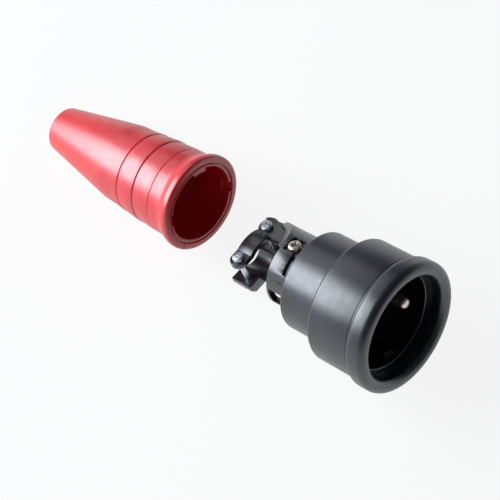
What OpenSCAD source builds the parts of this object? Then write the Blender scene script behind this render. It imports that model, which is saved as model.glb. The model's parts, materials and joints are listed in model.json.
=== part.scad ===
// Rubber inline socket: two poles and an earth pin, lying with its red bend sleeve pulled off the rear.
// Each piece is drawn on a bench frame: Z runs rearwards from the cup's rim or the sleeve's bead, X points up
// out of the cord clamp and Y points across. lie_socket() and lie_sleeve() lay the two halves on the table,
// mouth to +X: the socket rests on its front shoulder and the flat of the cord clamp, the sleeve on its cone.

/* [Rubber body] */
// Wall of the front barrel round the cup
body_wall = 3.85; // [3.2:0.05:4.4]
// How far the lip stands out from the front barrel
lip_stand = 1.5; // [1:0.1:2]
// How far the lip stands in front of the cup's rim
lip_reach = 7.9; // [6.5:0.1:9.5]
// How far the lip stands inwards over the cup's rim
lip_step = 0.4; // [0.1:0.1:1]
// Distance from the cup's rim to the rear shoulder of the front barrel
shoulder_s = 21; // [20.4:0.1:24]
// Radius of the rear barrel
rear_r = 20.85; // [20.4:0.05:21.6]
// Wall of the rear barrel
rear_wall = 2.55; // [2.2:0.05:3]
// Distance from the cup's rim to the rear end of the rubber
body_len = 39.7; // [37:0.1:44]
// Rounding of the front barrel's shoulder
shoulder_round = 1.5; // [0.5:0.1:2]
// Rounding of the rear end
rear_round = 1.3; // [0.5:0.1:2]

/* [Cup and contacts] */
// Radius of the cup that takes the plug
cup_r = 19.75; // [19:0.05:20.4]
// Wall of the cup
cup_wall = 2.25; // [2:0.05:2.6]
// Depth of the cup
cup_depth = 15; // [13:0.5:16]
// Thickness of the cup's floor
floor_t = 4; // [3:0.1:4.6]
// Distance between the two pole holes
pole_pitch = 19; // [18.6:0.1:19.4]
// Radius of the holes for the plug's pins
pole_hole_r = 2.75; // [2.5:0.05:2.9]
// Distance of the earth pin from the axis
earth_offset = 10; // [9.6:0.1:10.4]
// Radius of the earth pin
earth_pin_r = 2.4; // [2.2:0.05:2.5]
// Length of the earth pin in front of the cup's floor
earth_pin_len = 14; // [12:0.5:15]
// Front end of the guide ribs, from the rim
rib_s = 2.8; // [1.5:0.1:5]
// Height of the guide ribs at their step
rib_h = 3.6; // [2.5:0.1:4]

/* [Neck] */
// Room in the neck outside the axis of a pole contact
pole_room = 3.4; // [3.2:0.1:3.7]
// How far the neck stands out behind the rubber
neck_stick = 12.3; // [12:0.1:15]
// Wall of the neck round the wire chamber
neck_wall = 2.55; // [2.3:0.05:2.8]
// Length of a terminal window along the neck
window_len = 5.8; // [5.6:0.1:6.4]
// Width of a terminal window
window_w = 7.4; // [6.6:0.1:7.8]
// Distance from the rubber's rear end to the pole terminals' screws
terminal_back = 7.7; // [7.3:0.1:8]
// Distance from the rubber's rear end to the earth terminal's screw
earth_back = 2.5; // [2.3:0.1:3.3]
// Turn of the earth terminal past square
earth_turn = 6; // [4:1:12]
// Width of the bayonet slot
slot_w = 2.2; // [1.8:0.1:2.8]
// Depth of the bayonet slot
slot_t = 1.5; // [1:0.1:1.8]
// Angle from the window to the closed end of the bayonet slot
slot_sweep = 49; // [40:1:56]
// Turn of the contacts against the cord clamp
contact_turn = 8; // [0:1:12]

/* [Cord clamp] */
// Distance from the neck's rear end to the clamp's screws
clamp_reach = 20.4; // [19.5:0.1:24]
// Distance of each clamp screw from the axis
clamp_w = 9; // [8.8:0.1:9.6]
// Height of the ears' top above the axis
ear_top = 3.4; // [2.6:0.1:4.4]
// Thickness of the strap's ears
ear_t = 2.5; // [2:0.1:2.8]
// Radius of the strap's ears
ear_r = 4.5; // [4.2:0.1:4.8]
// Width of the strap along the cord
strap_w = 9.6; // [8:0.1:10.4]
// Rise of the strap's arch above its ears
arch_rise = 2; // [1:0.1:3]
// Half the span of the strap's arch
arch_half = 5.6; // [5:0.1:6]
// How far the saddle's underside stays inside the neck's radius
saddle_rise = 1.65; // [1.1:0.05:2]
// Height of the saddle at its ears
saddle_h = 4.8; // [4:0.1:5.4]
// Half the width of the saddle
saddle_half = 12.6; // [12:0.1:13.2]
// Length of the saddle along the cord
saddle_len = 10.4; // [9:0.1:11]
// Radius of the cord's channel in the saddle
channel_r = 5.5; // [4.5:0.1:5.8]

/* [Fasteners] */
// Radius of a clamp screw's shank
screw_r = 1.45; // [1.3:0.05:1.5]
// Radius of a screw's head
head_r = 2.75; // [2.5:0.05:2.85]
// Height of a screw's head
head_h = 2.1; // [1.6:0.1:2.4]
// Width across the flats of a nut
nut_af = 5.5; // [5:0.1:5.8]
// Thickness of a nut
nut_t = 2.4; // [2:0.1:2.6]

/* [Red sleeve] */
// How far the bead at the sleeve's mouth stays inside the rubber body's rear radius
bead_set = 0.1; // [0:0.05:0.4]
// Radius of the bead's own section
bead_tube = 3.25; // [2.8:0.05:3.6]
// Step from the bead down to the sleeve behind it
bead_step = 1.9; // [1.6:0.05:2.2]
// Distance from the bead's middle to the tail
sleeve_len = 81.4; // [78:0.1:90]
// Outer radius of the tail
tail_r = 10.05; // [9.4:0.05:10.6]
// Radius of the cord's hole in the tail
cord_hole_r = 5.2; // [4.5:0.1:6]
// Wall of the sleeve behind its mouth
sleeve_wall = 2; // [1.8:0.1:2.2]
// Depth of the three grooves
groove_t = 0.35; // [0.2:0.05:0.5]
// Clearance between the sleeve's ring and the neck
ring_gap = 0.15; // [0.1:0.05:0.5]

/* [As it lies] */
// Turn of the sleeve about its own axis
sleeve_turn = 20; // [-40:1:40]
// Distance from the cup's rim back to the sleeve's bead, over the table
pull_off = 99.1; // [98:0.1:130]
// How far the sleeve lies to the far side
side_off = -0.75; // [-6:0.05:6]

/* [Hidden] */
round_fn = 96;
bore_fn = 48;
arc_n = 10;
eps = 0.01;
fit_gap = 0.05;

// Cup moulding, its two guide ribs and the rubber round it
cup_out_r = cup_r + cup_wall;
cup_len = cup_depth + floor_t;
rim_bevel = 0.3;
rib_step = 4.5;
rib_foot = 2.4;
hole_bevel = 0.6;
body_in_r = cup_out_r + fit_gap;
front_r = body_in_r + body_wall;

// The lip is a round nose on a short straight rim
lip_r = front_r + lip_stand;
lip_in_r = cup_out_r - lip_step;
lip_nose = (lip_r - lip_in_r) / 2;
lip_mid_r = lip_in_r + lip_nose;
lip_nose_s = lip_nose - lip_reach;
lip_back_round = lip_stand + 0.7;
lip_back_s = lip_nose_s + 3.7;
lip_foot_a = acos((lip_back_round - lip_stand) / lip_back_round);
seam_s = 1.7;
seam_w = 0.5;
seam_t = 0.35;
end_wall = 2.8;
step_round = 0.6;

// Carrier behind the cup: a flange inside the rubber, then the neck
pole_r = pole_pitch / 2;
carrier_r = rear_r - rear_wall - fit_gap;
carrier_end = body_len - end_wall;
chamber_r = pole_r + pole_room;
neck_r = chamber_r + neck_wall;
neck_end = body_len + neck_stick;
neck_round = 0.5;
chamber_s = body_len + 0.5;
terminal_s = body_len + terminal_back;
earth_terminal_s = body_len + earth_back;

// Pole contacts: turned tubes that end in a block with a wire hole
tube_r = 3.2;
tube_bore_r = 2.45;
tube_gap = 0.2;
tube_slot_w = 0.8;
tube_slot_len = 11;
tube_end = 3;
tube_room = 0.7;
tube_room_len = 9;
ring_wire_r = 0.4;
ring_s = cup_len + 3;
block_w = 6.8;
block_out_r = chamber_r - 0.2;
block_in_r = pole_r - tube_r;
block_len = 9.6;
wire_hole_r = 1.9;
wire_hole_len = 7;
terminal_thread_r = 1.3;
head_lift = 0.2;
screw_seat_r = neck_r - head_h + head_lift;

// Earth: the pin is riveted to a bar that crosses to the terminal on the other side
flange_r = 3.1;
flange_t = 1.5;
rivet_r = 2;
root_r = earth_pin_r + 0.2;
root_s = cup_depth - 0.3;
pin_nose = 1.6;
bar_t = 1.2;
bar_w = 6;
bar_gap = 0.15;
bar_eye_r = bar_w / 2 + 0.2;
leg_half = bar_w / 2 - 0.3;
bar_s = cup_len + flange_t;
earth_dir = -90 - earth_turn;
leg_r = pole_r + 1.2;
earth_block_lead = 5;
earth_block_s = earth_terminal_s - earth_block_lead;
earth_window_rear = terminal_s + window_len / 2;

// Screws that hold the carrier to the cup
carrier_screw_at = chamber_r - head_r - 0.15;
carrier_screw_gap = 0.4;
carrier_screw_dir = asin((block_w / 2 + head_r + carrier_screw_gap) / carrier_screw_at);
carrier_screw_bite = 2.4;
recess_w = 0.8;
recess_t = 1.1;
recess_share = 0.6;
recess_turn = 25;

// Bayonet on the neck and its stop rib
slot_s = body_len + 3 + slot_w / 2;
stop_dir = -62;
stop_len = 2.6;
stop_w = 0.7;
stop_t = 0.35;

// Cord clamp
clamp_s = neck_end + clamp_reach;
arm_t = 2.6;
arm_near = -1.2;
arm_far_neck = neck_r - 0.25;
arm_far_end = clamp_w + 4.6;
arm_low = ear_top - ear_t - 2.5;
arm_r = neck_r - fit_gap;
arm_ear_r = ear_r + 0.8;
arm_start = neck_end - 1.5;
arm_flat_s = clamp_s - 4.6;
seat_gap = 0.15;
arch_t = 2.6;
saddle_s = clamp_s - saddle_len / 2;
saddle_low = saddle_rise - neck_r;
saddle_top = saddle_low + saddle_h;
saddle_chamfer = 2;
saddle_chamfer_h = 2.3;
corner_w = saddle_half - saddle_chamfer;
channel_wall = 1.9;
trough_r = channel_r + channel_wall;
channel_h = saddle_low + trough_r;
trough_s = neck_end - 1.4;
trough_top = saddle_top + 0.9;
clamp_hole_r = screw_r + 0.15;
nut_gap = 0.1;

// Sleeve, measured from the middle of its bead
bead_r = rear_r - bead_set;
bead_ring = bead_r - bead_tube;
sleeve_r = bead_r - bead_step;
bead_end_a = 44;
ring_r = neck_r + ring_gap;
ring_front = -bead_tube + 1.1;
ring_t = 2.2;
ring_bevel = 0.3;
mouth_r = bead_ring + 0.4;
room_r = sleeve_r - sleeve_wall;
room_end_s = 35.5;
room_end_r = room_r - 1;
hole_start_s = 41.5;
groove_1 = 10.6;
groove_2 = 20.15;
groove_3 = 30;
groove_w = 0.9;
band_2_end = sleeve_r - 0.55;
band_3_r = sleeve_r - 0.33;
band_3_end = sleeve_r - 1.13;
band_4_r = sleeve_r - 1;
band_4_end = sleeve_r - 1.75;
band_4_fall = 7;
band_4_s = 41.2;
cone_s = 46.2;
cone_r = band_4_end - 0.75;
tail_round = 0.6;
notch_half = 2.4;
notch_r = ring_r + 1.6;
lug_half_a = 12;
lug_in_r = neck_r - slot_t + 0.25;
lug_t = slot_w - 0.4;

// How each half comes to rest: the socket on its shoulder and the saddle's rear edge, the sleeve on its cone
rest_c = shoulder_s - shoulder_round;
rest_cr = front_r - shoulder_round;
rest_a = saddle_s + saddle_len - rest_c;
rest_b = -saddle_low - rest_cr;
socket_tilt = asin(shoulder_round / norm([rest_a, rest_b])) - atan2(rest_b, rest_a);
rim_z = rest_cr * cos(socket_tilt) + rest_c * sin(socket_tilt) + shoulder_round;
cone_drop = cone_r - tail_r;
sleeve_tilt = atan2(cone_drop, sleeve_len - tail_round - cone_s);
bead_z = cone_r * cos(sleeve_tilt) + cone_s * sin(sleeve_tilt);
front_x = lip_nose - lip_nose_s * cos(socket_tilt) + lip_mid_r * sin(socket_tilt);
back_x = -pull_off - sleeve_len * cos(sleeve_tilt) - (tail_r - tail_round) * sin(sleeve_tilt);
rim_x = -(front_x + back_x) / 2;

// Points of an arc about c, for a profile
function arc(c, r, a0, a1, n = arc_n) =
    [for (i = [0:n]) c + r * [cos(a0 + (a1 - a0) * i / n), sin(a0 + (a1 - a0) * i / n)]];

// A groove at s between a band that ends at r_before and one that starts at r_after, for a profile
function groove(s, r_before, r_after) =
    [[r_before, s - groove_w / 2], [min(r_before, r_after) - groove_t, s - groove_w / 8],
     [r_after, s + groove_w / 2]];

module lie_socket()
    translate([rim_x, 0, rim_z])
        rotate([0, -90 - socket_tilt, 0])
            children();

module lie_sleeve()
    translate([rim_x - pull_off, side_off, bead_z])
        rotate([0, -90 - sleeve_tilt, 0])
            rotate([0, 0, sleeve_turn])
                children();

// The same for the pieces that turn with the contacts
module lie_contacts() lie_socket() rotate([0, 0, contact_turn]) children();

// A box drawn as [height, across, along]
module box(h0, h1, w0, w1, s0, s1) translate([h0, w0, s0]) cube([h1 - h0, w1 - w0, s1 - s0]);

// Turns an outline drawn as [along, across] into a slab between two heights
module slab(h0, h1) mirror([1, 0, -1]) translate([0, 0, h0]) linear_extrude(height = h1 - h0) children();

// Turns an outline drawn as [along, height] into a slab between two places across
module cheek(w0, w1)
    rotate(a = -120, v = [1, 1, 1]) translate([0, 0, w0]) linear_extrude(height = w1 - w0) children();

module rubber_body()
    color("#26282c") lie_socket() rotate_extrude($fn = round_fn)
        polygon(concat(
            [[neck_r + fit_gap, body_len]],
            arc([rear_r - rear_round, body_len - rear_round], rear_round, 90, 0, 5),
            arc([rear_r + step_round, shoulder_s + step_round], step_round, 180, 270, 3),
            arc([front_r - shoulder_round, shoulder_s - shoulder_round], shoulder_round, 90, 0, 5),
            [[front_r, seam_s], [front_r - seam_t, seam_s - seam_w / 2], [front_r, seam_s - seam_w]],
            arc([lip_r - lip_back_round, lip_back_s], lip_back_round, lip_foot_a, 0, 6),
            arc([lip_mid_r, lip_nose_s], lip_nose, 0, -180, 16),
            [[body_in_r, 0], [body_in_r, cup_len], [carrier_r + fit_gap, cup_len]],
            [[carrier_r + fit_gap, carrier_end], [neck_r + fit_gap, carrier_end]]
        ));

// One guide rib of the cup: a step on one side that falls away to the wall on the other
module guide_rib()
    translate([0, 0, rib_s]) linear_extrude(height = cup_depth - rib_s + eps)
        polygon([[-cup_r - 1, -rib_step], [rib_h - sqrt(pow(cup_r, 2) - pow(rib_step, 2)), -rib_step],
                 [-sqrt(pow(cup_r, 2) - pow(rib_foot, 2)), rib_foot], [-cup_r - 1, rib_foot]]);

module cup_insert()
    color("#17181b") lie_contacts() difference() {
        union() {
            rotate_extrude($fn = round_fn)
                polygon([[0, cup_depth], [cup_r, cup_depth], [cup_r, rim_bevel], [cup_r + rim_bevel, 0],
                         [cup_out_r - rim_bevel, 0], [cup_out_r, rim_bevel], [cup_out_r, cup_len],
                         [0, cup_len]]);
            guide_rib();
            rotate([0, 0, 180]) guide_rib();
        }
        for (side = [-1, 1]) translate([side * pole_r, 0, cup_depth - eps]) {
            cylinder(r = pole_hole_r, h = floor_t + 2 * eps, $fn = bore_fn);
            cylinder(r1 = pole_hole_r + hole_bevel, r2 = pole_hole_r, h = hole_bevel, $fn = bore_fn);
        }
        translate([0, earth_offset, cup_depth - eps])
            cylinder(r = root_r + fit_gap, h = floor_t + 2 * eps, $fn = bore_fn);
        for (turn = [0, 180]) rotate([0, 0, carrier_screw_dir + turn])
            translate([carrier_screw_at, 0, cup_len - carrier_screw_bite])
                cylinder(r = screw_r + fit_gap, h = carrier_screw_bite + eps, $fn = bore_fn);
    }

// Window through the neck's wall over a terminal
module window(dir, s0, s1)
    rotate([0, 0, dir]) box(chamber_r - 1, neck_r + 2, -window_w / 2, window_w / 2, s0, s1);

// Bayonet slot that starts at a pole's window
module bayonet_slot(dir)
    rotate([0, 0, dir - slot_sweep]) translate([0, 0, slot_s - slot_w / 2])
        rotate_extrude(angle = slot_sweep, $fn = round_fn)
            translate([neck_r - slot_t, 0]) square([slot_t + 1, slot_w]);

// Outside of the carrier: the flange inside the rubber and the neck behind it, with the stop ribs
module neck_solid() {
    rotate_extrude($fn = round_fn)
        polygon([[0, cup_len], [carrier_r, cup_len], [carrier_r, carrier_end], [neck_r, carrier_end],
                 [neck_r, neck_end - neck_round], [neck_r - neck_round, neck_end], [0, neck_end]]);
    stop_s = slot_s + slot_w / 2;
    for (turn = [0, 180]) rotate([0, 0, contact_turn + stop_dir + turn])
        box(neck_r - 1, neck_r + stop_t, -stop_w / 2, stop_w / 2, stop_s, stop_s + stop_len);
}

// Rooms for the contacts, their screws and the earth, and the bayonet slots
module neck_rooms() {
    translate([0, 0, chamber_s]) cylinder(r = chamber_r, h = neck_end, $fn = round_fn);
    rotate([0, 0, contact_turn]) {
        window(0, terminal_s - window_len / 2, terminal_s + window_len / 2);
        window(180, terminal_s - window_len / 2, terminal_s + window_len / 2);
        window(earth_dir, chamber_s - eps, earth_window_rear);
        bayonet_slot(0);
        bayonet_slot(180);
        for (side = [-1, 1]) translate([side * pole_r, 0, cup_len - eps]) {
            cylinder(r = tube_r + fit_gap, h = neck_end - cup_len - 5, $fn = bore_fn);
            cylinder(r = tube_r + tube_room, h = tube_room_len, $fn = bore_fn);
        }
        earth_room();
        for (turn = [0, 180]) rotate([0, 0, carrier_screw_dir + turn])
            translate([carrier_screw_at, 0, cup_len - eps])
                cylinder(r = screw_r + seat_gap, h = chamber_s, $fn = bore_fn);
    }
}

// Flat outline of the earth bar, or of its room when a gap is given: it bends by earth_turn on the axis
module bar_plan(gap = 0) {
    half = bar_w / 2 + gap;
    tip = leg_r + bar_t / 2 + gap;
    bend = half * tan(earth_turn / 2);
    out = [cos(earth_dir), sin(earth_dir)];
    side = [-sin(earth_dir), cos(earth_dir)];
    polygon([[-half, earth_offset], [-half, bend], tip * out - half * side,
             tip * out + half * side, [half, -bend], [half, earth_offset]]);
}

// Room for the earth bar, the pin's rivet and the earth terminal
module earth_room() {
    leg_side = leg_half + fit_gap;
    leg_out = bar_t / 2 + fit_gap;
    block_side = block_w / 2 + fit_gap;
    translate([0, 0, cup_len - eps])
        linear_extrude(height = bar_s + bar_t + bar_gap - cup_len + eps) bar_plan(bar_gap);
    translate([0, earth_offset, cup_len - eps])
        cylinder(r = bar_eye_r + bar_gap, h = flange_t + bar_t + 2, $fn = bore_fn);
    rotate([0, 0, earth_dir]) {
        box(leg_r - bar_t / 2 - bar_gap, leg_r + leg_out, -leg_side, leg_side, bar_s, chamber_s + 1);
        box(block_in_r - fit_gap, block_out_r + fit_gap, -block_side, block_side,
            earth_block_s, chamber_s + 1);
    }
}

// Ramp and far wall of the arm that runs from the neck to the far clamp screw
module arm() {
    outline_end = clamp_s + arm_ear_r + 0.5;
    flat_w = clamp_w - arm_ear_r;
    intersection() {
        translate([0, 0, arm_start]) cylinder(r = arm_r, h = outline_end, $fn = round_fn);
        cheek(-neck_r, neck_r)
            polygon([[arm_start, neck_r], [neck_end, neck_r], [arm_flat_s, ear_top],
                     [outline_end, ear_top], [outline_end, arm_low], [arm_start, arm_low]]);
        slab(-neck_r, neck_r) union() {
            polygon([[arm_start, arm_near], [neck_end, arm_near], [arm_flat_s, flat_w], [clamp_s, flat_w],
                     [clamp_s, arm_far_end], [neck_end, arm_far_neck], [arm_start, arm_far_neck]]);
            translate([clamp_s, clamp_w]) circle(r = arm_ear_r, $fn = bore_fn);
        }
    }
}

// Room under the arm's ramp, open towards the cord
module arm_hollow() {
    from_s = arm_start - 1;
    to_s = arm_flat_s - 1;
    intersection() {
        translate([0, 0, from_s]) cylinder(r = chamber_r - fit_gap, h = clamp_s, $fn = round_fn);
        cheek(-neck_r, neck_r) polygon([[from_s, neck_r - arm_t], [neck_end, neck_r - arm_t - 0.6],
                                        [to_s, ear_top - arm_t], [to_s, arm_low - 1], [from_s, arm_low - 1]]);
        slab(-neck_r, neck_r) polygon([[from_s, arm_near - 1], [to_s, arm_near - 1],
                                       [to_s, arm_far_end - arm_t], [from_s, arm_far_neck - arm_t]]);
    }
}

// Saddle of the cord clamp and the trough that joins it to the neck
module saddle()
    difference() {
        union() {
            translate([0, 0, saddle_s]) linear_extrude(height = saddle_len)
                polygon([[saddle_top, -saddle_half], [saddle_top, saddle_half],
                         [saddle_low + saddle_chamfer_h, saddle_half], [saddle_low, corner_w],
                         [saddle_low, -corner_w], [saddle_low + saddle_chamfer_h, -saddle_half]]);
            intersection() {
                translate([channel_h, 0, trough_s])
                    cylinder(r = trough_r, h = saddle_s - trough_s + 1, $fn = bore_fn);
                box(saddle_low + fit_gap, trough_top, -neck_r, neck_r, trough_s, saddle_s + 1);
            }
        }
        translate([channel_h, 0, trough_s - 1]) cylinder(r = channel_r, h = clamp_s, $fn = bore_fn);
    }

// The strap's own outline, with its clearance when it is a seat in the arm
module strap_plan(gap = 0) {
    for (side = [-1, 1]) translate([clamp_s, side * clamp_w]) circle(r = ear_r + gap, $fn = bore_fn);
    translate([clamp_s - ear_r - gap, -clamp_w]) square([2 * (ear_r + gap), 2 * clamp_w]);
    translate([clamp_s - strap_w / 2 - gap, -arch_half - gap])
        square([strap_w + 2 * gap, 2 * (arch_half + gap)]);
}

module terminal_carrier()
    color("#1f2125") lie_socket() difference() {
        union() {
            difference() {
                union() {
                    neck_solid();
                    difference() {
                        arm();
                        arm_hollow();
                    }
                }
                neck_rooms();
            }
            saddle();
        }
        slab(ear_top - ear_t, ear_top + 1) strap_plan(seat_gap);
        for (side = [-1, 1]) translate([saddle_low - 1, side * clamp_w, clamp_s]) rotate([0, 90, 0]) {
            cylinder(r = clamp_hole_r, h = ear_top - saddle_low + 2, $fn = bore_fn);
            rotate([0, 0, 30])
                cylinder(r = (nut_af / 2 + nut_gap) / cos(30), h = nut_t + 1 + nut_gap, $fn = 6);
        }
    }

// Wire's hole and screw's thread of a terminal block that starts at block_s
module wire_and_thread(block_s, thread_s) {
    translate([pole_r, 0, block_s + block_len - wire_hole_len])
        cylinder(r = wire_hole_r, h = wire_hole_len + 1, $fn = bore_fn);
    translate([pole_r, 0, thread_s]) rotate([0, 90, 0])
        cylinder(r = terminal_thread_r, h = block_out_r, $fn = bore_fn);
}

// Turned contact: slotted tube in front, terminal block behind, with the wire's hole and the screw's thread
module pole_contact(dir)
    color("#c8a860") lie_contacts() rotate([0, 0, dir]) difference() {
        union() {
            translate([pole_r, 0, cup_len + tube_gap])
                cylinder(r = tube_r, h = chamber_s - cup_len, $fn = bore_fn);
            box(block_in_r, block_out_r, -block_w / 2, block_w / 2, chamber_s, chamber_s + block_len);
        }
        translate([pole_r, 0, cup_len])
            cylinder(r = tube_bore_r, h = chamber_s - cup_len - tube_end, $fn = bore_fn);
        box(0, pole_r + tube_r + 1, -tube_slot_w / 2, tube_slot_w / 2, cup_len, cup_len + tube_slot_len);
        wire_and_thread(chamber_s, terminal_s);
    }

module spring_ring(dir)
    color("#b9bcc0") lie_contacts() rotate([0, 0, dir]) translate([pole_r, 0, ring_s])
        rotate_extrude($fn = bore_fn) translate([tube_r + ring_wire_r, 0]) circle(r = ring_wire_r, $fn = 16);

module earth_pin()
    color("#d9d2c4") lie_contacts() translate([0, earth_offset, 0]) rotate_extrude($fn = bore_fn)
        polygon(concat(
            [[0, cup_depth - earth_pin_len]],
            arc([earth_pin_r - pin_nose, cup_depth - earth_pin_len + pin_nose], pin_nose, -90, 0, 6),
            [[earth_pin_r, root_s], [root_r, root_s], [root_r, cup_len], [flange_r, cup_len]],
            [[flange_r, bar_s], [rivet_r, bar_s], [rivet_r, bar_s + bar_t], [flange_r, bar_s + bar_t]],
            [[rivet_r, bar_s + bar_t + 1], [0, bar_s + bar_t + 1]]
        ));

module earth_bar()
    color("#c8a860") lie_contacts() difference() {
        union() {
            translate([0, 0, bar_s]) linear_extrude(height = bar_t) bar_plan();
            translate([0, earth_offset, bar_s]) cylinder(r = bar_eye_r, h = bar_t, $fn = bore_fn);
            rotate([0, 0, earth_dir])
                box(leg_r - bar_t / 2, leg_r + bar_t / 2 - fit_gap, -leg_half, leg_half,
                    bar_s + bar_t / 2, earth_block_s);
        }
        translate([0, earth_offset, bar_s - eps])
            cylinder(r = rivet_r + fit_gap, h = bar_t + 2 * eps, $fn = bore_fn);
    }

module earth_terminal()
    color("#c8a860") lie_contacts() rotate([0, 0, earth_dir]) difference() {
        box(block_in_r, block_out_r, -block_w / 2, block_w / 2, earth_block_s, earth_block_s + block_len);
        wire_and_thread(earth_block_s, earth_terminal_s);
    }

// Pan-head screw with a cross recess: the underside of the head is at 0 and the shank runs down
module pan_screw(shank_r, shank_len)
    difference() {
        rotate_extrude($fn = bore_fn)
            polygon(concat(
                [[0, -shank_len], [shank_r - 0.3, -shank_len], [shank_r, -shank_len + 0.5]],
                [[shank_r, 0], [head_r, 0]],
                arc([head_r - 1, head_h - 1], 1, 0, 90, 5),
                [[0, head_h]]
            ));
        recess_half = head_r * recess_share;
        for (turn = [0, 90]) rotate([0, 0, turn + recess_turn])
            translate([-recess_half, -recess_w / 2, head_h - recess_t])
                cube([2 * recess_half, recess_w, recess_t + 1]);
    }

module terminal_screw(dir, s)
    color("#ddd6cb") lie_contacts() rotate([0, 0, dir]) translate([screw_seat_r, 0, s])
        rotate([0, 90, 0]) pan_screw(terminal_thread_r, screw_seat_r - pole_r);

module carrier_screws()
    color("#b9bcc0") lie_contacts()
        for (turn = [0, 180]) rotate([0, 0, carrier_screw_dir + turn])
            translate([carrier_screw_at, 0, chamber_s])
                pan_screw(screw_r, chamber_s - cup_len + carrier_screw_bite - 0.2);

module cord_strap() {
    ear_low = ear_top - ear_t;
    arch_out_r = (pow(arch_half, 2) + pow(arch_rise, 2)) / (2 * arch_rise);
    under_half = arch_half - 1;
    under_rise = arch_rise + ear_t - arch_t;
    arch_in_r = (pow(under_half, 2) + pow(under_rise, 2)) / (2 * under_rise);
    s0 = clamp_s - strap_w;
    s1 = clamp_s + strap_w;
    arch_top = ear_top + arch_rise;
    color("#222428") lie_socket() difference() {
        intersection() {
            union() {
                box(ear_low, ear_top, -clamp_w - ear_r, clamp_w + ear_r, s0, s1);
                intersection() {
                    translate([arch_top - arch_out_r, 0, s0])
                        cylinder(r = arch_out_r, h = s1 - s0, $fn = round_fn);
                    box(ear_low, arch_top + 1, -arch_half, arch_half, s0, s1);
                }
            }
            slab(ear_low - 1, arch_top + 1) strap_plan();
        }
        translate([ear_low + under_rise - arch_in_r, 0, s0])
            cylinder(r = arch_in_r, h = s1 - s0, $fn = round_fn);
        for (side = [-1, 1]) translate([ear_low - 1, side * clamp_w, clamp_s]) rotate([0, 90, 0])
            cylinder(r = clamp_hole_r, h = ear_t + 2, $fn = bore_fn);
    }
}

module clamp_screw(side)
    color("#c3cad0") lie_socket() translate([ear_top, side * clamp_w, clamp_s])
        rotate([0, 90, 0]) pan_screw(screw_r, ear_top - saddle_low);

module clamp_nut(side)
    color("#b9bcc0") lie_socket()
        translate([saddle_low + fit_gap, side * clamp_w, clamp_s]) rotate([0, 90, 0]) difference() {
            rotate([0, 0, 30]) cylinder(r = nut_af / 2 / cos(30), h = nut_t, $fn = 6);
            translate([0, 0, -eps]) cylinder(r = screw_r + fit_gap, h = nut_t + 1, $fn = bore_fn);
        }

// Outer line of the sleeve: the bead, four bands between three grooves, each a little narrower, and a cone
function sleeve_outer() = concat(
    arc([bead_ring, 0], bead_tube, -90, bead_end_a, 12),
    [[sleeve_r + 0.3, 4.4], [sleeve_r, 6]],
    groove(groove_1, sleeve_r - 0.02, sleeve_r - 0.04),
    [[sleeve_r - 0.12, groove_1 + 3.2]],
    groove(groove_2, band_2_end, band_3_r),
    [[band_3_r - 0.05, groove_2 + 2.5]],
    groove(groove_3, band_3_end, band_4_r),
    [[band_4_r - 0.25, groove_3 + 2.6], [band_4_end + 0.15, groove_3 + band_4_fall]],
    [[band_4_end, band_4_s], [band_4_end - 0.2, band_4_s + 1.7]],
    [[cone_r + 0.3, cone_s - 1.8], [cone_r, cone_s]],
    [[tail_r, sleeve_len - tail_round], [tail_r - tail_round, sleeve_len]]
);

module red_sleeve()
    color("#c01624") lie_sleeve() difference() {
        union() {
            rotate_extrude($fn = round_fn)
                polygon(concat(
                    sleeve_outer(),
                    [[cord_hole_r, sleeve_len], [cord_hole_r, hole_start_s], [room_end_r, room_end_s]],
                    [[room_r, ring_front + ring_t], [ring_r, ring_front + ring_t]],
                    [[ring_r, ring_front + ring_bevel], [ring_r + ring_bevel, ring_front]],
                    [[mouth_r, ring_front], [mouth_r, ring_bevel - bead_tube]]
                ));
            for (turn = [0, 180]) rotate([0, 0, turn - lug_half_a])
                translate([0, 0, ring_front + ring_t - eps])
                    rotate_extrude(angle = 2 * lug_half_a, $fn = round_fn)
                        translate([lug_in_r, 0]) square([room_r + 0.5 - lug_in_r, lug_t]);
        }
        for (w0 = [-notch_r, 0])
            box(-notch_half, notch_half, w0, w0 + notch_r, ring_front - 1, ring_front + ring_t + eps);
    }

rubber_body();
cup_insert();
terminal_carrier();
pole_contact(0);  // pole_contact_upper
pole_contact(180);  // pole_contact_lower
spring_ring(0);  // spring_ring_upper
spring_ring(180);  // spring_ring_lower
earth_pin();
earth_bar();
earth_terminal();
terminal_screw(0, terminal_s);  // terminal_screw_upper
terminal_screw(180, terminal_s);  // terminal_screw_lower
terminal_screw(earth_dir, earth_terminal_s);  // terminal_screw_earth
carrier_screws();
cord_strap();
clamp_screw(1);  // clamp_screw_far
clamp_screw(-1);  // clamp_screw_near
clamp_nut(1);  // clamp_nut_far
clamp_nut(-1);  // clamp_nut_near
red_sleeve();
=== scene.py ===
# Rubber inline socket with its red bend sleeve drawn off: camera, light, materials and finer pieces round
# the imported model. In each function b is the settings dictionary. Lengths are in mm unless a note says m.
import json
from math import cos, pi, radians, sin, tan

import bmesh
import bpy
import numpy as np
from mathutils import Matrix, Vector

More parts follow.
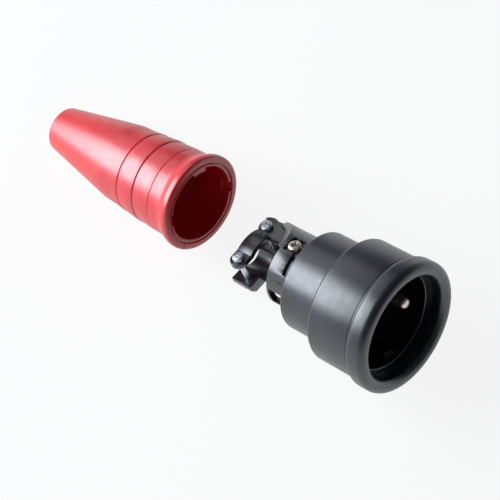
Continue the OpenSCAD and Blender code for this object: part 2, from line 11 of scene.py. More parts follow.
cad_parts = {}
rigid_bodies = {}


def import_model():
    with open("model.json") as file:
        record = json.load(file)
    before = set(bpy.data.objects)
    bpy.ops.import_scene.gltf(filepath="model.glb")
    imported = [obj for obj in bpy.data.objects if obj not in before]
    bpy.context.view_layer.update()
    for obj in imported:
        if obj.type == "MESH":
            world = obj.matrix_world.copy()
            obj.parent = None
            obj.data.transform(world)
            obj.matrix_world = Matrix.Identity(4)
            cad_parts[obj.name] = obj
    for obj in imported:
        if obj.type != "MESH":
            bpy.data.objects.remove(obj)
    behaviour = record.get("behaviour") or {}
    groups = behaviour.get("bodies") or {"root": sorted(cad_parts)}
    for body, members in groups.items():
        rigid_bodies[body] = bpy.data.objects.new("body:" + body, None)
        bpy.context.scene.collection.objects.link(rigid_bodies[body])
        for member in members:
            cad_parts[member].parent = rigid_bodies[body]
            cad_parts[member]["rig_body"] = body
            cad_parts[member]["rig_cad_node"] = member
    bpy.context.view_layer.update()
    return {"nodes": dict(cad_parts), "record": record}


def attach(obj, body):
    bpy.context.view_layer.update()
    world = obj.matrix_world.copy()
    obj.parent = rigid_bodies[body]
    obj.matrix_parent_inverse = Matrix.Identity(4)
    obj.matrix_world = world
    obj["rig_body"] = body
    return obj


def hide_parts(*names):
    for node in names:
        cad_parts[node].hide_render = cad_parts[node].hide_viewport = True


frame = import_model()
nodes = frame["nodes"]
mounts = {m["name"]: m for m in frame["record"]["mounts"]}
scene = bpy.context.scene
scene.view_settings.view_transform = "Standard"


def linear(hexColour):  # sRGB hex to the linear values that Blender's sockets take
    parts = [int(hexColour[i:i + 2], 16) / 255 for i in (1, 3, 5)]
    return tuple(c / 12.92 if c <= 0.04045 else ((c + 0.055) / 1.055) ** 2.4 for c in parts) + (1.0,)


# Camera

camera = {
    "azimuth": 50.858,      # degrees from +Y towards -X
    "elevation": 57.900,
    "roll": -12.53,         # the photograph is turned a little against the table
    "aim": (0.003132, 0.005356, -0.003982),     # m
    "distance": 0.66973,                        # m
    "lens": 115.2,
    "sensor": 36.0,
    "clip": (0.01, 20.0),                       # m
}


def addCamera(b):
    azimuth, elevation = radians(b["azimuth"]), radians(b["elevation"])
    look = Vector((-sin(azimuth) * cos(elevation), cos(azimuth) * cos(elevation), -sin(elevation)))
    levelRight = look.cross(Vector((0, 0, 1))).normalized()
    levelUp = levelRight.cross(look)
    roll = radians(b["roll"])
    right = cos(roll) * levelRight + sin(roll) * levelUp
    up = right.cross(look)
    data = bpy.data.cameras.new("photoCamera")
    data.lens, data.sensor_width = b["lens"], b["sensor"]
    data.clip_start, data.clip_end = b["clip"]
    obj = bpy.data.objects.new("photoCamera", data)
    turn = Matrix((right, up, -look)).transposed().to_4x4()
    obj.matrix_world = Matrix.Translation(Vector(b["aim"]) - b["distance"] * look) @ turn
    scene.collection.objects.link(obj)
    scene.camera = obj


addCamera(camera)
print("camera set")


# Studio: a white table, a large soft box behind the near side, a weak one opposite, and a room that is
# darker overhead

table = {
    "colour": "#f2f3f4",
    "size": 6.0,            # m
    "shadowShare": 0.12,    # how much of the table's own light and shadow the camera sees
}
room = {
    "colour": "#e6edfa",
    "horizonLight": 0.62,
    "overheadLight": 0.10,
    "horizonTop": 0.36,     # sine of the height at which the room is as dark as overhead
}
softBoxes = {  # direction from the object, then distance and size along and across the socket's axis in m
    "keyBox": {"towards": (-0.782, -0.410, 0.470), "distance": 0.9, "size": (0.74, 0.66), "watts": 13.0,
               "colour": "#f0f6ff"},
    "farBox": {"towards": (-0.72, 0.34, 0.61), "distance": 1.0, "size": (0.50, 0.50), "watts": 0.8,
               "colour": "#ffffff"},
}


def addNode(tree, kind, inputs=None, **settings):  # one shader node with its settings, values and links
    node = tree.nodes.new("ShaderNode" + kind)
    for name, value in settings.items():
        setattr(node, name, value)
    for name, value in (inputs or {}).items():
        if isinstance(value, bpy.types.NodeSocket):
            tree.links.new(value, node.inputs[name])
        else:
            node.inputs[name].default_value = value
    return node


def emptyMaterial(name):
    material = bpy.data.materials.new(name)
    material.use_nodes = True
    material.node_tree.nodes.clear()
    return material


def addTable(b):
    # Camera, glossy and transmission rays see mostly plain white, and shadowShare of the lit table.
    material = emptyMaterial("matteTable")
    tree = material.node_tree
    matte = addNode(tree, "BsdfDiffuse", {"Color": linear(b["colour"])})
    white = addNode(tree, "Emission", {"Color": (1, 1, 1, 1), "Strength": 1.0})
    path = addNode(tree, "LightPath")
    seen = addNode(tree, "Math", {0: path.outputs["Is Camera Ray"], 1: path.outputs["Is Glossy Ray"]},
                   operation="ADD")
    shown = addNode(tree, "Math", {0: seen.outputs[0], 1: path.outputs["Is Transmission Ray"]},
                    operation="ADD", use_clamp=True)
    share = addNode(tree, "Math", {0: shown.outputs[0], 1: 1 - b["shadowShare"]}, operation="MULTIPLY")
    both = addNode(tree, "MixShader", {0: share.outputs[0], 1: matte.outputs[0], 2: white.outputs[0]})
    addNode(tree, "OutputMaterial", {"Surface": both.outputs[0]})
    half = b["size"] / 2
    corners = [(-half, -half, 0), (half, -half, 0), (half, half, 0), (-half, half, 0)]
    mesh = bpy.data.meshes.new("table")
    mesh.from_pydata(corners, [], [(0, 1, 2, 3)])
    mesh.materials.append(material)
    obj = bpy.data.objects.new("table", mesh)
    scene.collection.objects.link(obj)


def addRoom(b):  # light falls off from the horizon to overhead by the height of the direction
    world = bpy.data.worlds.new("studioRoom")
    world.use_nodes = True
    tree = world.node_tree
    tree.nodes.clear()
    direction = addNode(tree, "TexCoord").outputs["Generated"]
    height = addNode(tree, "SeparateXYZ", {0: direction}).outputs["Z"]
    light = addNode(tree, "MapRange", {"Value": height, "From Min": 0.0, "From Max": b["horizonTop"],
                                       "To Min": b["horizonLight"], "To Max": b["overheadLight"]},
                    interpolation_type="SMOOTHSTEP")
    walls = addNode(tree, "Background", {"Color": linear(b["colour"]), "Strength": light.outputs[0]})
    addNode(tree, "OutputWorld", {"Surface": walls.outputs[0]})
    scene.world = world


def addSoftBox(name, b):  # faces the object, with its first size along the socket's axis
    towards = Vector(b["towards"]).normalized()
    along = (Vector((1, 0, 0)) - towards.x * towards).normalized()
    data = bpy.data.lights.new(name, "AREA")
    data.shape = "RECTANGLE"
    data.size, data.size_y = b["size"]
    data.energy = b["watts"]
    data.color = linear(b["colour"])[:3]
    obj = bpy.data.objects.new(name, data)
    turn = Matrix((along, towards.cross(along), towards)).transposed().to_4x4()
    obj.matrix_world = Matrix.Translation(towards * b["distance"]) @ turn
    scene.collection.objects.link(obj)


addTable(table)
addRoom(room)
for boxName, boxSpec in softBoxes.items():
    addSoftBox(boxName, boxSpec)
print("studio lit")


# Materials: every pattern is worked out from a size in mm on Object coordinates, which are in metres. The
# real grain of a moulded surface is about 0.1 mm and would not show, so it is drawn a few times as coarse.

middleRange = {"From Min": 0.35, "From Max": 0.65}                  # a noise's middle, stretched to 0 to 1
peaksRange = {"From Min": 0.60, "From Max": 0.80, "To Max": 0.45}   # only its peaks, at most 0.45 strong

blackRubber = {  # chloroprene, compression moulded: satin bluish black, cloudy gloss and a faint bloom
    "dark": "#0c121b", "light": "#151d2a", "bloom": "#2d3540",
    "cloud": 11.0, "dust": 0.9, "skin": 2.4, "skinDeep": 0.006, "grain": 0.5, "grainDeep": 0.009,
    "smooth": 0.33, "rough": 0.39, "shading": {"IOR": 1.55, "Specular IOR Level": 0.95},
}
redRubber = {  # soft PVC, moulded: saturated red, satin, a little paler where it was handled
    "dark": "#d1141f", "light": "#e01c26", "bloom": "#e0424a",
    "cloud": 14.0, "dust": 0.9, "skin": 2.8, "skinDeep": 0.007, "grain": 0.6, "grainDeep": 0.008,
    "smooth": 0.31, "rough": 0.42, "shading": {"IOR": 1.57, "Specular IOR Level": 1.0},
}


def mouldedRubber(name, b):
    # Large clouds change the colour, specks of dust bloom on it, and a skin changes both gloss and relief.
    material = emptyMaterial(name)
    tree = material.node_tree
    place = addNode(tree, "TexCoord").outputs["Object"]
    cloud = addNode(tree, "TexNoise", {"Vector": place, "Scale": 1000 / b["cloud"], "Detail": 3.0})
    cloudShare = addNode(tree, "MapRange", {"Value": cloud.outputs[0], **middleRange})
    body = addNode(tree, "Mix", {0: cloudShare.outputs[0], 6: linear(b["dark"]), 7: linear(b["light"])},
                   data_type="RGBA")
    dust = addNode(tree, "TexNoise", {"Vector": place, "Scale": 1000 / b["dust"], "Detail": 6.0,
                                      "Roughness": 0.75})
    dustShare = addNode(tree, "MapRange", {"Value": dust.outputs[0], **peaksRange})
    bloomed = addNode(tree, "Mix", {0: dustShare.outputs[0], 6: body.outputs[2], 7: linear(b["bloom"])},
                      data_type="RGBA")
    skin = addNode(tree, "TexNoise", {"Vector": place, "Scale": 1000 / b["skin"], "Detail": 4.0,
                                      "Roughness": 0.6})
    gloss = addNode(tree, "MapRange", {"Value": skin.outputs[0], **middleRange,
                                       "To Min": b["smooth"], "To Max": b["rough"]})
    grain = addNode(tree, "TexNoise", {"Vector": place, "Scale": 1000 / b["grain"], "Detail": 3.0,
                                       "Roughness": 0.6})
    waves = addNode(tree, "Bump", {"Height": skin.outputs[0], "Distance": b["skinDeep"] / 1000})
    relief = addNode(tree, "Bump", {"Height": grain.outputs[0], "Distance": b["grainDeep"] / 1000,
                                    "Normal": waves.outputs[0]})
    surface = addNode(tree, "BsdfPrincipled", {
        "Base Color": bloomed.outputs[2], "Roughness": gloss.outputs[0], "Normal": relief.outputs[0],
        **b["shading"]})
    addNode(tree, "OutputMaterial", {"Surface": surface.outputs[0]})
    return material


cupThermoset = {  # phenolic thermoset, compression moulded: deep black and glossy with faint polish marks
    "dark": "#0b0c0f", "light": "#14161a", "cloud": 6.0, "marks": 2.5, "marksDeep": 0.004,
    "smooth": 0.16, "rough": 0.28, "shading": {"IOR": 1.6, "Specular IOR Level": 0.6},
}
carrierNylon = {  # glass-filled nylon, injection moulded: near black, with an even sheen over a fine grain
    "dark": "#10141b", "light": "#1a1f29", "cloud": 6.0, "marks": 0.9, "marksDeep": 0.005,
    "smooth": 0.27, "rough": 0.34, "shading": {"IOR": 1.55, "Specular IOR Level": 1.0},
}
zincSteel = {  # steel screws and nuts, blue zinc plated: cold and bright, with soft facets from tumbling
    "dark": "#c2ccd7", "light": "#eff5fb", "cloud": 1.2, "marks": 0.6, "marksDeep": 0.012,
    "smooth": 0.36, "rough": 0.50, "shading": {"Metallic": 1.0},
}
nickelBrass = {  # turned brass, nickel plated: a warmer and smoother silver
    "dark": "#dccfc4", "light": "#fdf3ea", "cloud": 2.0, "marks": 0.5, "marksDeep": 0.006,
    "smooth": 0.30, "rough": 0.44, "shading": {"Metallic": 1.0},
}
turnedBrass = {  # bare turned brass, slightly dulled
    "dark": "#9c7a3a", "light": "#c9a55a", "cloud": 2.5, "marks": 0.4, "marksDeep": 0.006,
    "smooth": 0.22, "rough": 0.38, "shading": {"Metallic": 1.0},
}
springSteel = {  # drawn spring wire, grey and smooth
    "dark": "#8f9296", "light": "#b4b7ba", "cloud": 1.5, "marks": 0.4, "marksDeep": 0.004,
    "smooth": 0.25, "rough": 0.40, "shading": {"Metallic": 1.0},
}


def hardFinish(name, b):
    # Plastic and metal alike: clouds change the colour, mould or tool marks change both gloss and relief.
    material = emptyMaterial(name)
    tree = material.node_tree
    place = addNode(tree, "TexCoord").outputs["Object"]
    cloud = addNode(tree, "TexNoise", {"Vector": place, "Scale": 1000 / b["cloud"], "Detail": 3.0})
    cloudShare = addNode(tree, "MapRange", {"Value": cloud.outputs[0], **middleRange})
    body = addNode(tree, "Mix", {0: cloudShare.outputs[0], 6: linear(b["dark"]), 7: linear(b["light"])},
                   data_type="RGBA")
    marks = addNode(tree, "TexNoise", {"Vector": place, "Scale": 1000 / b["marks"], "Detail": 3.0,
                                       "Roughness": 0.6})
    gloss = addNode(tree, "MapRange", {"Value": marks.outputs[0], **middleRange,
                                       "To Min": b["smooth"], "To Max": b["rough"]})
    relief = addNode(tree, "Bump", {"Height": marks.outputs[0], "Distance": b["marksDeep"] / 1000})
    surface = addNode(tree, "BsdfPrincipled", {
        "Base Color": body.outputs[2], "Roughness": gloss.outputs[0], "Normal": relief.outputs[0],
        **b["shading"]})
    addNode(tree, "OutputMaterial", {"Surface": surface.outputs[0]})
    return material


finishes = {
    "black_rubber": mouldedRubber("chloropreneRubber", blackRubber),
    "red_rubber": mouldedRubber("redPvcRubber", redRubber),
    "black_plastic": hardFinish("blackThermoset", cupThermoset),
    "carrier_plastic": hardFinish("glassFilledNylon", carrierNylon),
    "zinc_steel": hardFinish("zincPlatedSteel", zincSteel),
    "nickel": hardFinish("nickelPlatedBrass", nickelBrass),
    "brass": hardFinish("turnedBrass", turnedBrass),
    "spring_steel": hardFinish("springWire", springSteel),
}
slotOf = {s["node"]: s["material_slot"] for s in frame["record"]["subparts"]}
print("materials made")


# Bench frames: each half is turned on its own axis, rearwards from the cup's rim or the sleeve's bead

contactDepth = 26.0     # from the cup's rim to the contacts' mounts
outletDepth = 62.0      # from the sleeve's bead to the outlet's mount


def benchFrame(rimPoint, forward):  # origin on the axis, with unit vectors up, across and rearwards
    return {"origin": rimPoint, "back": -forward, "across": np.array([0.0, 1.0, 0.0]),
            "up": np.array([-forward[2], 0.0, forward[0]])}


upperContact = np.array(mounts["pole_contact_upper"]["pos_m"])
lowerContact = np.array(mounts["pole_contact_lower"]["pos_m"])
cordOutlet = np.array(mounts["cord_outlet"]["pos_m"])
socketForward = np.array(mounts["pole_contact_upper"]["axis"])
sleeveForward = -np.array(mounts["cord_outlet"]["axis"])
cupRim = (upperContact + lowerContact) / 2 + contactDepth / 1000 * socketForward
sleeveMouth = cordOutlet + outletDepth / 1000 * sleeveForward
socketBench = benchFrame(cupRim, socketForward)
sleeveBench = benchFrame(sleeveMouth, sleeveForward)


def placed(bench, height, across, along):  # bench millimetres to metres in the frame
    return bench["origin"] + 0.001 * (height[..., None] * bench["up"] + across[..., None] * bench["across"]
                                      + along[..., None] * bench["back"])


def roundedLine(corners, steps=6):
    # Each corner (radius, along, fillet) becomes an arc that touches both of its sides: the arc starts
    # fillet * tan(turn / 2) before the corner and its points lie at equal angles about its centre. The line
    # closes on itself, and a corner that hardly turns stays a point.
    straight = 1.56  # radians, half the angle between two sides that are all but in line
    corners = np.array(corners, float)
    points = []
    for i, (r, s, fillet) in enumerate(corners):
        here = np.array([r, s])
        before = corners[i - 1][:2] - here
        after = corners[(i + 1) % len(corners)][:2] - here
        before, after = before / np.linalg.norm(before), after / np.linalg.norm(after)
        half = np.arccos(np.clip(before @ after, -1, 1)) / 2
        if fillet <= 0 or half > straight:
            points.append(here)
            continue
        middle = (before + after) / np.linalg.norm(before + after)
        centre = here + middle * fillet / np.sin(half)
        sweep = pi / 2 - half
        count = max(2, int(np.ceil(steps * sweep / (pi / 4))))
        a = np.linspace(-sweep, sweep, count + 1)
        side = (after - before) / np.linalg.norm(after - before)
        points.extend(centre - fillet * (np.cos(a)[:, None] * middle - np.sin(a)[:, None] * side))
    return np.array(points)


def addPiece(name, points, strips, slot):
    # Point [i, j] of the grid is joined to its neighbours in row i + 1 and column j + 1. Columns close on
    # themselves, and so do rows where there are as many strips of faces as rows.
    rows, columns = points.shape[:2]
    i, j = np.meshgrid(np.arange(strips), np.arange(columns), indexing="ij")
    nextRow, nextColumn = (i + 1) % rows, (j + 1) % columns
    corners = [i * columns + j, nextRow * columns + j,
               nextRow * columns + nextColumn, i * columns + nextColumn]
    mesh = bpy.data.meshes.new(name)
    mesh.from_pydata(points.reshape(-1, 3), [], np.stack(corners, -1).reshape(-1, 4))
    mesh.shade_smooth()
    mesh.materials.append(finishes[slot])
    piece = bpy.data.objects.new(name, mesh)
    scene.collection.objects.link(piece)
    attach(piece, "root")
    return piece


def closeEnds(piece, sharpAngle):  # merges the points of a closed end and turns every face outwards
    mergeWithin = 1e-6  # m
    mesh = bmesh.new()
    mesh.from_mesh(piece.data)
    bmesh.ops.remove_doubles(mesh, verts=mesh.verts, dist=mergeWithin)
    bmesh.ops.recalc_face_normals(mesh, faces=mesh.faces)
    mesh.to_mesh(piece.data)
    mesh.free()
    piece.data.set_sharp_from_angle(angle=radians(sharpAngle))


def turnedMesh(name, bench, radius, along, angles, slot):
    # Surface of revolution: row i of radius and along is one profile point and column j one angle,
    # height = radius * cos(angle), across = radius * sin(angle). Both ways close on themselves.
    points = placed(bench, radius * np.cos(angles), radius * np.sin(angles), along)
    return addPiece(name, points, len(points), slot)


# Rubber body: one moulding with a round lip, a front barrel and a narrower rear barrel

rubberBody = {  # a name with R is a radius and one with S a place along the axis
    "lipR": 27.4, "lipInR": 21.6, "lipReach": 7.9, "lipBackS": -1.3, "lipBackRound": 2.2,
    "frontR": 25.9, "rearR": 20.85, "shoulderS": 21.0, "shoulderRound": 1.5, "stepRound": 0.6,
    "bodyLen": 39.7, "rearRound": 1.3, "neckR": 15.5, "cupR": 22.05, "cupLen": 19.0, "carrierR": 18.3,
    "carrierEnd": 36.9, "seamS": 1.45, "seamHalf": 0.22, "seamDeep": 0.16, "columns": 256,
}


def makeRubberBody(b):
    # One profile, from the rear end over the barrels and the lip into the cup's seat, turned on the axis.
    nose = (b["lipR"] - b["lipInR"]) / 2 - 0.02
    turn = np.arccos((b["lipBackRound"] - (b["lipR"] - b["frontR"])) / b["lipBackRound"])
    lipBack = b["lipBackS"] + b["lipBackRound"] * tan(turn / 2)
    lipFoot = b["lipBackS"] + b["lipBackRound"] * sin(turn)
    line = roundedLine([
        (b["neckR"], b["bodyLen"], 0.3),                        # rear end and rear barrel
        (b["rearR"], b["bodyLen"], b["rearRound"]),
        (b["rearR"], b["shoulderS"], b["stepRound"]),           # step up to the front barrel
        (b["frontR"], b["shoulderS"], b["shoulderRound"]),
        (b["frontR"], b["seamS"] + b["seamHalf"], 0.08),        # fine seam behind the lip
        (b["frontR"] - b["seamDeep"], b["seamS"], 0.08),
        (b["frontR"], b["seamS"] - b["seamHalf"], 0.08),
        (b["frontR"], lipFoot + 0.02, 0.1),                     # lip
        (b["lipR"], lipBack, b["lipBackRound"] - 0.1),
        (b["lipR"], -b["lipReach"], nose),
        (b["lipInR"], -b["lipReach"], nose),
        (b["lipInR"], 0.0, 0.15),                               # seat of the cup
        (b["cupR"], 0.0, 0.1),
        (b["cupR"], b["cupLen"], 0.2),
        (b["carrierR"], b["cupLen"], 0.2),                      # seat of the carrier's flange
        (b["carrierR"], b["carrierEnd"], 0.2),
        (b["neckR"], b["carrierEnd"], 0.2),                     # hole for the neck
    ])
    angles = np.linspace(0, 2 * pi, b["columns"], endpoint=False)
    radius = np.repeat(line[:, :1], b["columns"], axis=1)
    along = np.repeat(line[:, 1:], b["columns"], axis=1)
    piece = turnedMesh("body_moulding", socketBench, radius, along, angles, "black_rubber")
    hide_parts("rubber_body")


makeRubberBody(rubberBody)
print("rubber body made")


# Red sleeve: a bead at the mouth, four bands between three grooves, a cone, and a ring inside the mouth

redSleeve = {
    "beadR": 20.75, "beadTube": 3.25, "beadFront": -2.0, "beadRound": 1.0,
    "sleeveR": 18.85, "sleeveLen": 81.4, "tailR": 10.05,
    "holeR": 5.2, "roomR": 16.85, "roomEnd": 35.5, "holeStart": 41.5,
    "grooves": (10.6, 20.15, 30.0), "grooveHalf": 0.40, "grooveDeep": 0.16, "bandEnd": 41.2, "coneS": 46.2,
    "ringR": 16.2, "ringFront": -1.95, "ringBack": 0.25, "ringBevel": 0.3, "ringOutR": 17.2,
    "beadInR": 18.0, "gapS": -1.15, "grooveRound": 0.12, "edgeRound": 0.08,
    "notches": {"angles": (90, 270), "halfWidth": 2.4, "r": 17.1},
    "lugs": {"angles": (0,), "halfWidth": 3.4, "r": 14.5, "front": -1.55},
    "studs": {"angles": (94, 274), "halfWidth": 2.2, "rise": 0.7, "from": 3.0, "to": 4.6},
    "mark": {"angles": (-145,), "halfWidth": 0.3, "deep": 0.15},
    "turn": 20.0, "columns": 360,
    "step": 0.02,           # between two rows that make a square edge
    "edgeTurn": 0.03,       # degrees from a feature's side to the columns before and after it
    "sharpTurn": 35.0,      # degrees
}


def makeRedSleeve(b):
    # The profile is turned about the axis: radius[i, j] and along[i, j] are its row i at angle j. Where an
    # angle lies in a notch, lug, stud or the mark, the rows that belong to it move in, out or back.
    r, g1, g2, g3 = b["sleeveR"], *b["grooves"]
    band4End, coneR = r - 1.75, r - 2.5

    def groove(s, before, after):
        return [(before, s - b["grooveHalf"], b["grooveRound"]),
                (min(before, after) - b["grooveDeep"], s - 0.1, b["grooveRound"]),
                (after, s + b["grooveHalf"], b["grooveRound"])]

    tube = [(b["beadR"] - b["beadTube"] + b["beadTube"] * cos(a), b["beadTube"] * sin(a), 0)
            for a in np.linspace(0, radians(44), 9)]
    lugs, studs, step, edge = b["lugs"], b["studs"], b["step"], b["edgeRound"]
    line = roundedLine([
        (b["beadR"], b["beadFront"], b["beadRound"]), *tube,            # bead and the hollow behind it
        (r + 0.3, 4.4, 1.5), (r, 6.0, 1.2),
        *groove(g1, r - 0.02, r - 0.04), (r - 0.12, g1 + 3.2, 0),       # bands, each a little narrower
        *groove(g2, r - 0.55, r - 0.33), (r - 0.38, g2 + 2.5, 0),
        *groove(g3, r - 1.13, r - 1.0), (r - 1.25, g3 + 2.6, 0), (band4End + 0.15, g3 + 7, 0),
        (band4End, b["bandEnd"], 2.0), (band4End - 0.2, b["bandEnd"] + 1.7, 1.0),
        (coneR + 0.3, b["coneS"] - 1.8, 1.0), (coneR, b["coneS"], 2.0),         # cone and tail
        (b["tailR"] - 0.11, b["sleeveLen"], 0.7),
        (b["holeR"], b["sleeveLen"], 0.6), (b["holeR"], b["holeStart"], 1.0),   # cord hole and room
        (b["roomR"] - 1, b["roomEnd"], 1.0), (b["roomR"], 12.0, 0),
        (b["roomR"], studs["to"] + step, 0), (b["roomR"], studs["to"], 0),      # rows that carry the studs
        (b["roomR"], studs["from"], 0), (b["roomR"], studs["from"] - step, 0),
        (b["roomR"], b["ringBack"], 0), (b["ringR"], b["ringBack"], 0),         # ring and the lug's front
        (b["ringR"], lugs["front"], 0), (b["ringR"], lugs["front"] - step, 0),
        (b["ringR"], b["ringFront"] + b["ringBevel"], 0), (b["ringR"] + b["ringBevel"], b["ringFront"], 0),
        (b["ringOutR"], b["ringFront"], edge), (b["ringOutR"] + 0.1, b["gapS"], edge),  # gap round it
        (b["beadInR"] - 0.1, b["gapS"], edge), (b["beadInR"], b["beadFront"], edge),
    ])
    measuredAt = {"notches": b["ringR"], "lugs": b["ringR"], "studs": b["roomR"], "mark": b["beadR"]}
    halfTurns = {name: np.degrees(np.arcsin(b[name]["halfWidth"] / atR))
                 for name, atR in measuredAt.items()}
    own = [np.arange(b["columns"]) * 360 / b["columns"]]
    for name, half in halfTurns.items():
        for middle in b[name]["angles"]:
            for side in (middle - half, middle + half):
                own.append(np.array([side - b["edgeTurn"], side + b["edgeTurn"]]))
    own = np.unique(np.round(np.concatenate(own) % 360, 3))
    covers = {}
    for name, half in halfTurns.items():
        away = np.array([np.abs((own - middle + 180) % 360 - 180) for middle in b[name]["angles"]])
        covers[name] = np.any(away < half, axis=0)
    rowR, rowS = line[::-1, :1], line[::-1, 1:]  # from the tail forwards, so that faces point outwards
    radius = np.repeat(rowR, len(own), axis=1)
    along = np.repeat(rowS, len(own), axis=1)
    near = 1e-6  # slack for rows that lie on a limit
    ringDepth = (rowS <= b["ringBack"] + near) & (rowS >= b["ringFront"] - near)
    onRing = ringDepth & (rowR < b["ringR"] + b["ringBevel"] + step / 2)
    onLug = onRing & (rowR < b["ringR"] + step / 2) & (rowS >= lugs["front"] - near)
    studDepth = (rowS <= studs["to"] + near) & (rowS >= studs["from"] - near)
    onStud = studDepth & (np.abs(rowR - b["roomR"]) < near)
    onFront = (rowS < b["beadFront"] + 0.05) & (rowR > b["beadInR"] - 0.1)
    radius = np.where(onRing & covers["notches"], b["notches"]["r"], radius)
    radius = np.where(onLug & covers["lugs"], lugs["r"], radius)
    radius = np.where(onStud & covers["studs"], b["roomR"] - studs["rise"], radius)
    along = np.where(onFront & covers["mark"], along + b["mark"]["deep"], along)
    angles = np.radians(own + b["turn"])
    piece = turnedMesh("sleeve_moulding", sleeveBench, radius, along, angles, "red_rubber")
    piece.data.set_sharp_from_angle(angle=radians(b["sharpTurn"]))
    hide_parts("red_sleeve")


makeRedSleeve(redSleeve)
print("red sleeve made")


# Cord clamp: a strap with an arch over the cord, its far side run on to the neck as a plate, and two screws

clampStrap = {  # a name with W is a place across the cord
    "clampS": 72.4, "earTop": 3.4, "earLow": 1.2, "archHalf": 5.9, "archRise": 1.4, "underHalf": 4.9,
    "stripS": 72.1, "stripHalf": 3.8, "nearEarW": -9.0, "nearEarR": 3.9, "farEarW": 9.5, "farEarR": 4.1,
    "neckS": 52.1, "round": 0.35, "shoulderFall": 1.2, "shoulderReach": 4.0, "sharpTurn": 40.0,
    "plateW": (5.1, 7.2, 13.6, 14.95),  # near edge at the arch and the neck, far edge at the ear and neck
}


def arcHeight(across, half, rise):  # height of an arc of that rise over across, from 0 at half either side
    arcR = (half ** 2 + rise ** 2) / (2 * rise)
    return np.maximum(np.sqrt(np.maximum(arcR ** 2 - across ** 2, 0)) - arcR + rise, 0)


def makeStrap(b):
    # At each place w across the cord the section is a rounded rectangle, front(w) to rear(w) along the cord
    # and low(w) to top(w) in height. An ear reaches sqrt(r ** 2 - (w - middle) ** 2) each way, the arch is
    # two arcs, and the plate's edges are straight.
    w0, w1, w2, w3 = b["plateW"]
    quarter = np.linspace(0, pi / 2, 14)
    across = np.concatenate([
        b["nearEarW"] - b["nearEarR"] * np.cos(quarter), np.linspace(-8.5, -6.1, 4),
        np.linspace(-b["archHalf"], b["archHalf"], 41), np.linspace(6.0, 9.4, 14),
        b["farEarW"] + b["farEarR"] * np.sin(quarter), np.linspace(w2, w3, 7)[1:],
    ])  # near ear, near strip, arch, far strip, far ear and plate
    across = np.unique(np.append(across, [w0, w1]))
    nearReach = np.sqrt(np.maximum(b["nearEarR"] ** 2 - (across - b["nearEarW"]) ** 2, 0))
    farReach = np.sqrt(np.maximum(b["farEarR"] ** 2 - (across - b["farEarW"]) ** 2, 0))
    stripReach = np.interp(across, [b["nearEarW"], -b["archHalf"]], [b["nearEarR"], b["stripHalf"]])
    reach = np.where(across < b["nearEarW"], nearReach, stripReach)
    nearEdge = np.interp(across, [w0, w1], [b["stripS"] - b["stripHalf"], b["neckS"]])
    farEdge = np.interp(across, [w2, w3], [b["clampS"], b["neckS"]])
    front = np.where(across < w0, b["stripS"] - reach, nearEdge)
    shoulder = b["stripS"] + b["stripHalf"] - b["shoulderFall"] * (across - b["archHalf"])
    shoulder = np.minimum(shoulder, b["clampS"] + b["shoulderReach"])
    farEar = np.maximum(b["clampS"] + farReach, shoulder)
    rear = np.where(across < b["archHalf"], b["stripS"] + reach, np.where(across < w2, farEar, farEdge))
    top = b["earTop"] + arcHeight(across, b["archHalf"], b["archRise"])
    low = b["earLow"] + arcHeight(across, b["underHalf"], b["archRise"])
    halfS, halfH = (rear - front) / 2, (top - low) / 2
    rounding = np.minimum(b["round"], halfS)[:, None]
    perCorner = 5
    turn = np.concatenate([np.linspace(k * pi / 2, (k + 1) * pi / 2, perCorner) for k in range(4)])
    signS = np.repeat([1, -1, -1, 1], perCorner)
    signH = np.repeat([1, 1, -1, -1], perCorner)
    along = ((front + rear) / 2)[:, None] + signS * (halfS[:, None] - rounding) + rounding * np.cos(turn)
    height = ((top + low) / 2)[:, None] + signH * (halfH[:, None] - rounding) + rounding * np.sin(turn)
    sideways = np.repeat(across[:, None], len(turn), axis=1)
    points = placed(socketBench, height, sideways, along)
    piece = addPiece("clamp_strap", points, len(across) - 1, "carrier_plastic")
    closeEnds(piece, b["sharpTurn"])
    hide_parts("cord_strap")


clampScrews = {
    "headR": 2.5, "headHigh": 2.1, "dome": 0.45, "edge": 0.65, "edgeHigh": 0.9, "footEdge": 0.2,
    "shankR": 1.45, "shankLen": 16.6, "tipEdge": 0.3,
    "crossHalf": 0.32, "crossReach": 1.2, "crossDeep": 0.45, "crossSide": 0.12, "crossEnd": 0.15,
    "crossTurn": 25.0, "columns": 96, "sharpTurn": 40.0,
    "screws": {  # place of the seat as (height, across, along) and the way that the foot leans from it
        "clamp_screw_near": {"seat": (3.5, -9.0, 72.1), "lean": (0.02, -0.01)},
        "clamp_screw_far": {"seat": (3.42, 9.0, 72.4), "lean": (0.0, 0.0)},
    },
}


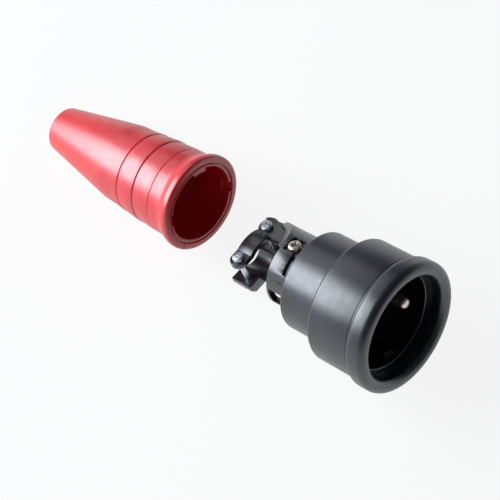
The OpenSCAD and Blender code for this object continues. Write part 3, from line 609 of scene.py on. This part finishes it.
def makeClampScrew(node, b):
    # The head's top is z = headHigh - dome * (r / headR) ** 2, its edge a quarter ellipse, and the cross is
    # cut where a point lies within crossHalf of either arm. All stands on the screw's own leaning axis.
    inner = np.linspace(0, b["headR"] - b["edge"], 30)
    bend = np.linspace(0, pi / 2, 8)[1:]
    shoulder = b["headHigh"] - b["dome"] * (inner[-1] / b["headR"]) ** 2
    foot = -b["shankLen"]
    rowR = np.concatenate([inner, inner[-1] + b["edge"] * np.sin(bend),
                           [b["headR"], b["headR"] - b["footEdge"]],
                           [b["shankR"], b["shankR"], b["shankR"] - b["tipEdge"], 0]])
    rowZ = np.concatenate([b["headHigh"] - b["dome"] * (inner / b["headR"]) ** 2,
                           shoulder - b["edgeHigh"] * (1 - np.cos(bend)),
                           [b["footEdge"], 0, 0, foot + b["tipEdge"], foot, foot]])
    angle = np.linspace(0, 2 * pi, b["columns"], endpoint=False)
    x, y = rowR[:, None] * np.cos(angle), rowR[:, None] * np.sin(angle)
    turn = radians(b["crossTurn"])
    armX = np.abs(x * cos(turn) + y * sin(turn))
    armY = np.abs(y * cos(turn) - x * sin(turn))
    inArm = np.clip((b["crossHalf"] - np.minimum(armX, armY)) / b["crossSide"] + 0.5, 0, 1)
    inReach = np.clip((b["crossReach"] - np.maximum(armX, armY)) / b["crossEnd"] + 0.5, 0, 1)
    onTop = (np.arange(len(rowR)) < len(inner))[:, None]
    z = rowZ[:, None] - np.where(onTop, b["crossDeep"] * inArm * inReach, 0)
    seatH, seatW, seatS = b["screws"][node]["seat"]
    leanW, leanS = b["screws"][node]["lean"]
    across = seatW + x - leanW * z
    along = seatS + y - leanS * z
    height = seatH + z + leanW * x + leanS * y
    points = placed(socketBench, height, across, along)
    piece = addPiece(node + "_turned", points, len(rowR) - 1, "zinc_steel")
    closeEnds(piece, b["sharpTurn"])
    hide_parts(node)


makeStrap(clampStrap)
for screwNode in clampScrews["screws"]:
    makeClampScrew(screwNode, clampScrews)
print("cord clamp made")


# CAD pieces: a merged copy of each gets small moulded or turned edges and stands for its node

edgeRounds = {
    "cup_insert": 0.15, "terminal_carrier": 0.25, "clamp_nut_far": 0.12, "clamp_nut_near": 0.12,
    "terminal_screw_upper": 0.10, "terminal_screw_lower": 0.10, "terminal_screw_earth": 0.10,
    "carrier_screws": 0.10, "pole_contact_upper": 0.12, "pole_contact_lower": 0.12,
    "earth_pin": 0.10, "earth_bar": 0.10, "earth_terminal": 0.15,
}
roundedFrom = 28.0      # degrees between two faces from which their edge is rounded
flatUpTo = 0.5          # degrees up to which two faces count as one
mergeUpTo = 2e-6        # m between points that count as one


def makeRounded(node, edgeRound):
    piece = nodes[node].copy()
    piece.data = nodes[node].data.copy()
    piece.name = node + "_finished"
    piece.parent = None
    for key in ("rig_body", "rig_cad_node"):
        del piece[key]
    scene.collection.objects.link(piece)
    mesh = bmesh.new()
    mesh.from_mesh(piece.data)
    bmesh.ops.remove_doubles(mesh, verts=mesh.verts, dist=mergeUpTo)
    bmesh.ops.dissolve_limit(mesh, angle_limit=radians(flatUpTo), verts=mesh.verts, edges=mesh.edges)
    mesh.to_mesh(piece.data)
    mesh.free()
    piece.data.materials.clear()
    piece.data.materials.append(finishes[slotOf[node]])
    piece.data.shade_smooth()
    rounding = piece.modifiers.new("edgeRound", "BEVEL")
    rounding.width, rounding.segments = edgeRound / 1000, 3
    rounding.limit_method, rounding.angle_limit = "ANGLE", radians(roundedFrom)
    rounding.harden_normals = True
    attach(piece, "root")
    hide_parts(node)


for nodeName, roundTo in edgeRounds.items():
    makeRounded(nodeName, roundTo)
for nodeName in ("spring_ring_upper", "spring_ring_lower"):
    nodes[nodeName].material_slots[0].material = finishes[slotOf[nodeName]]
print("edges rounded")
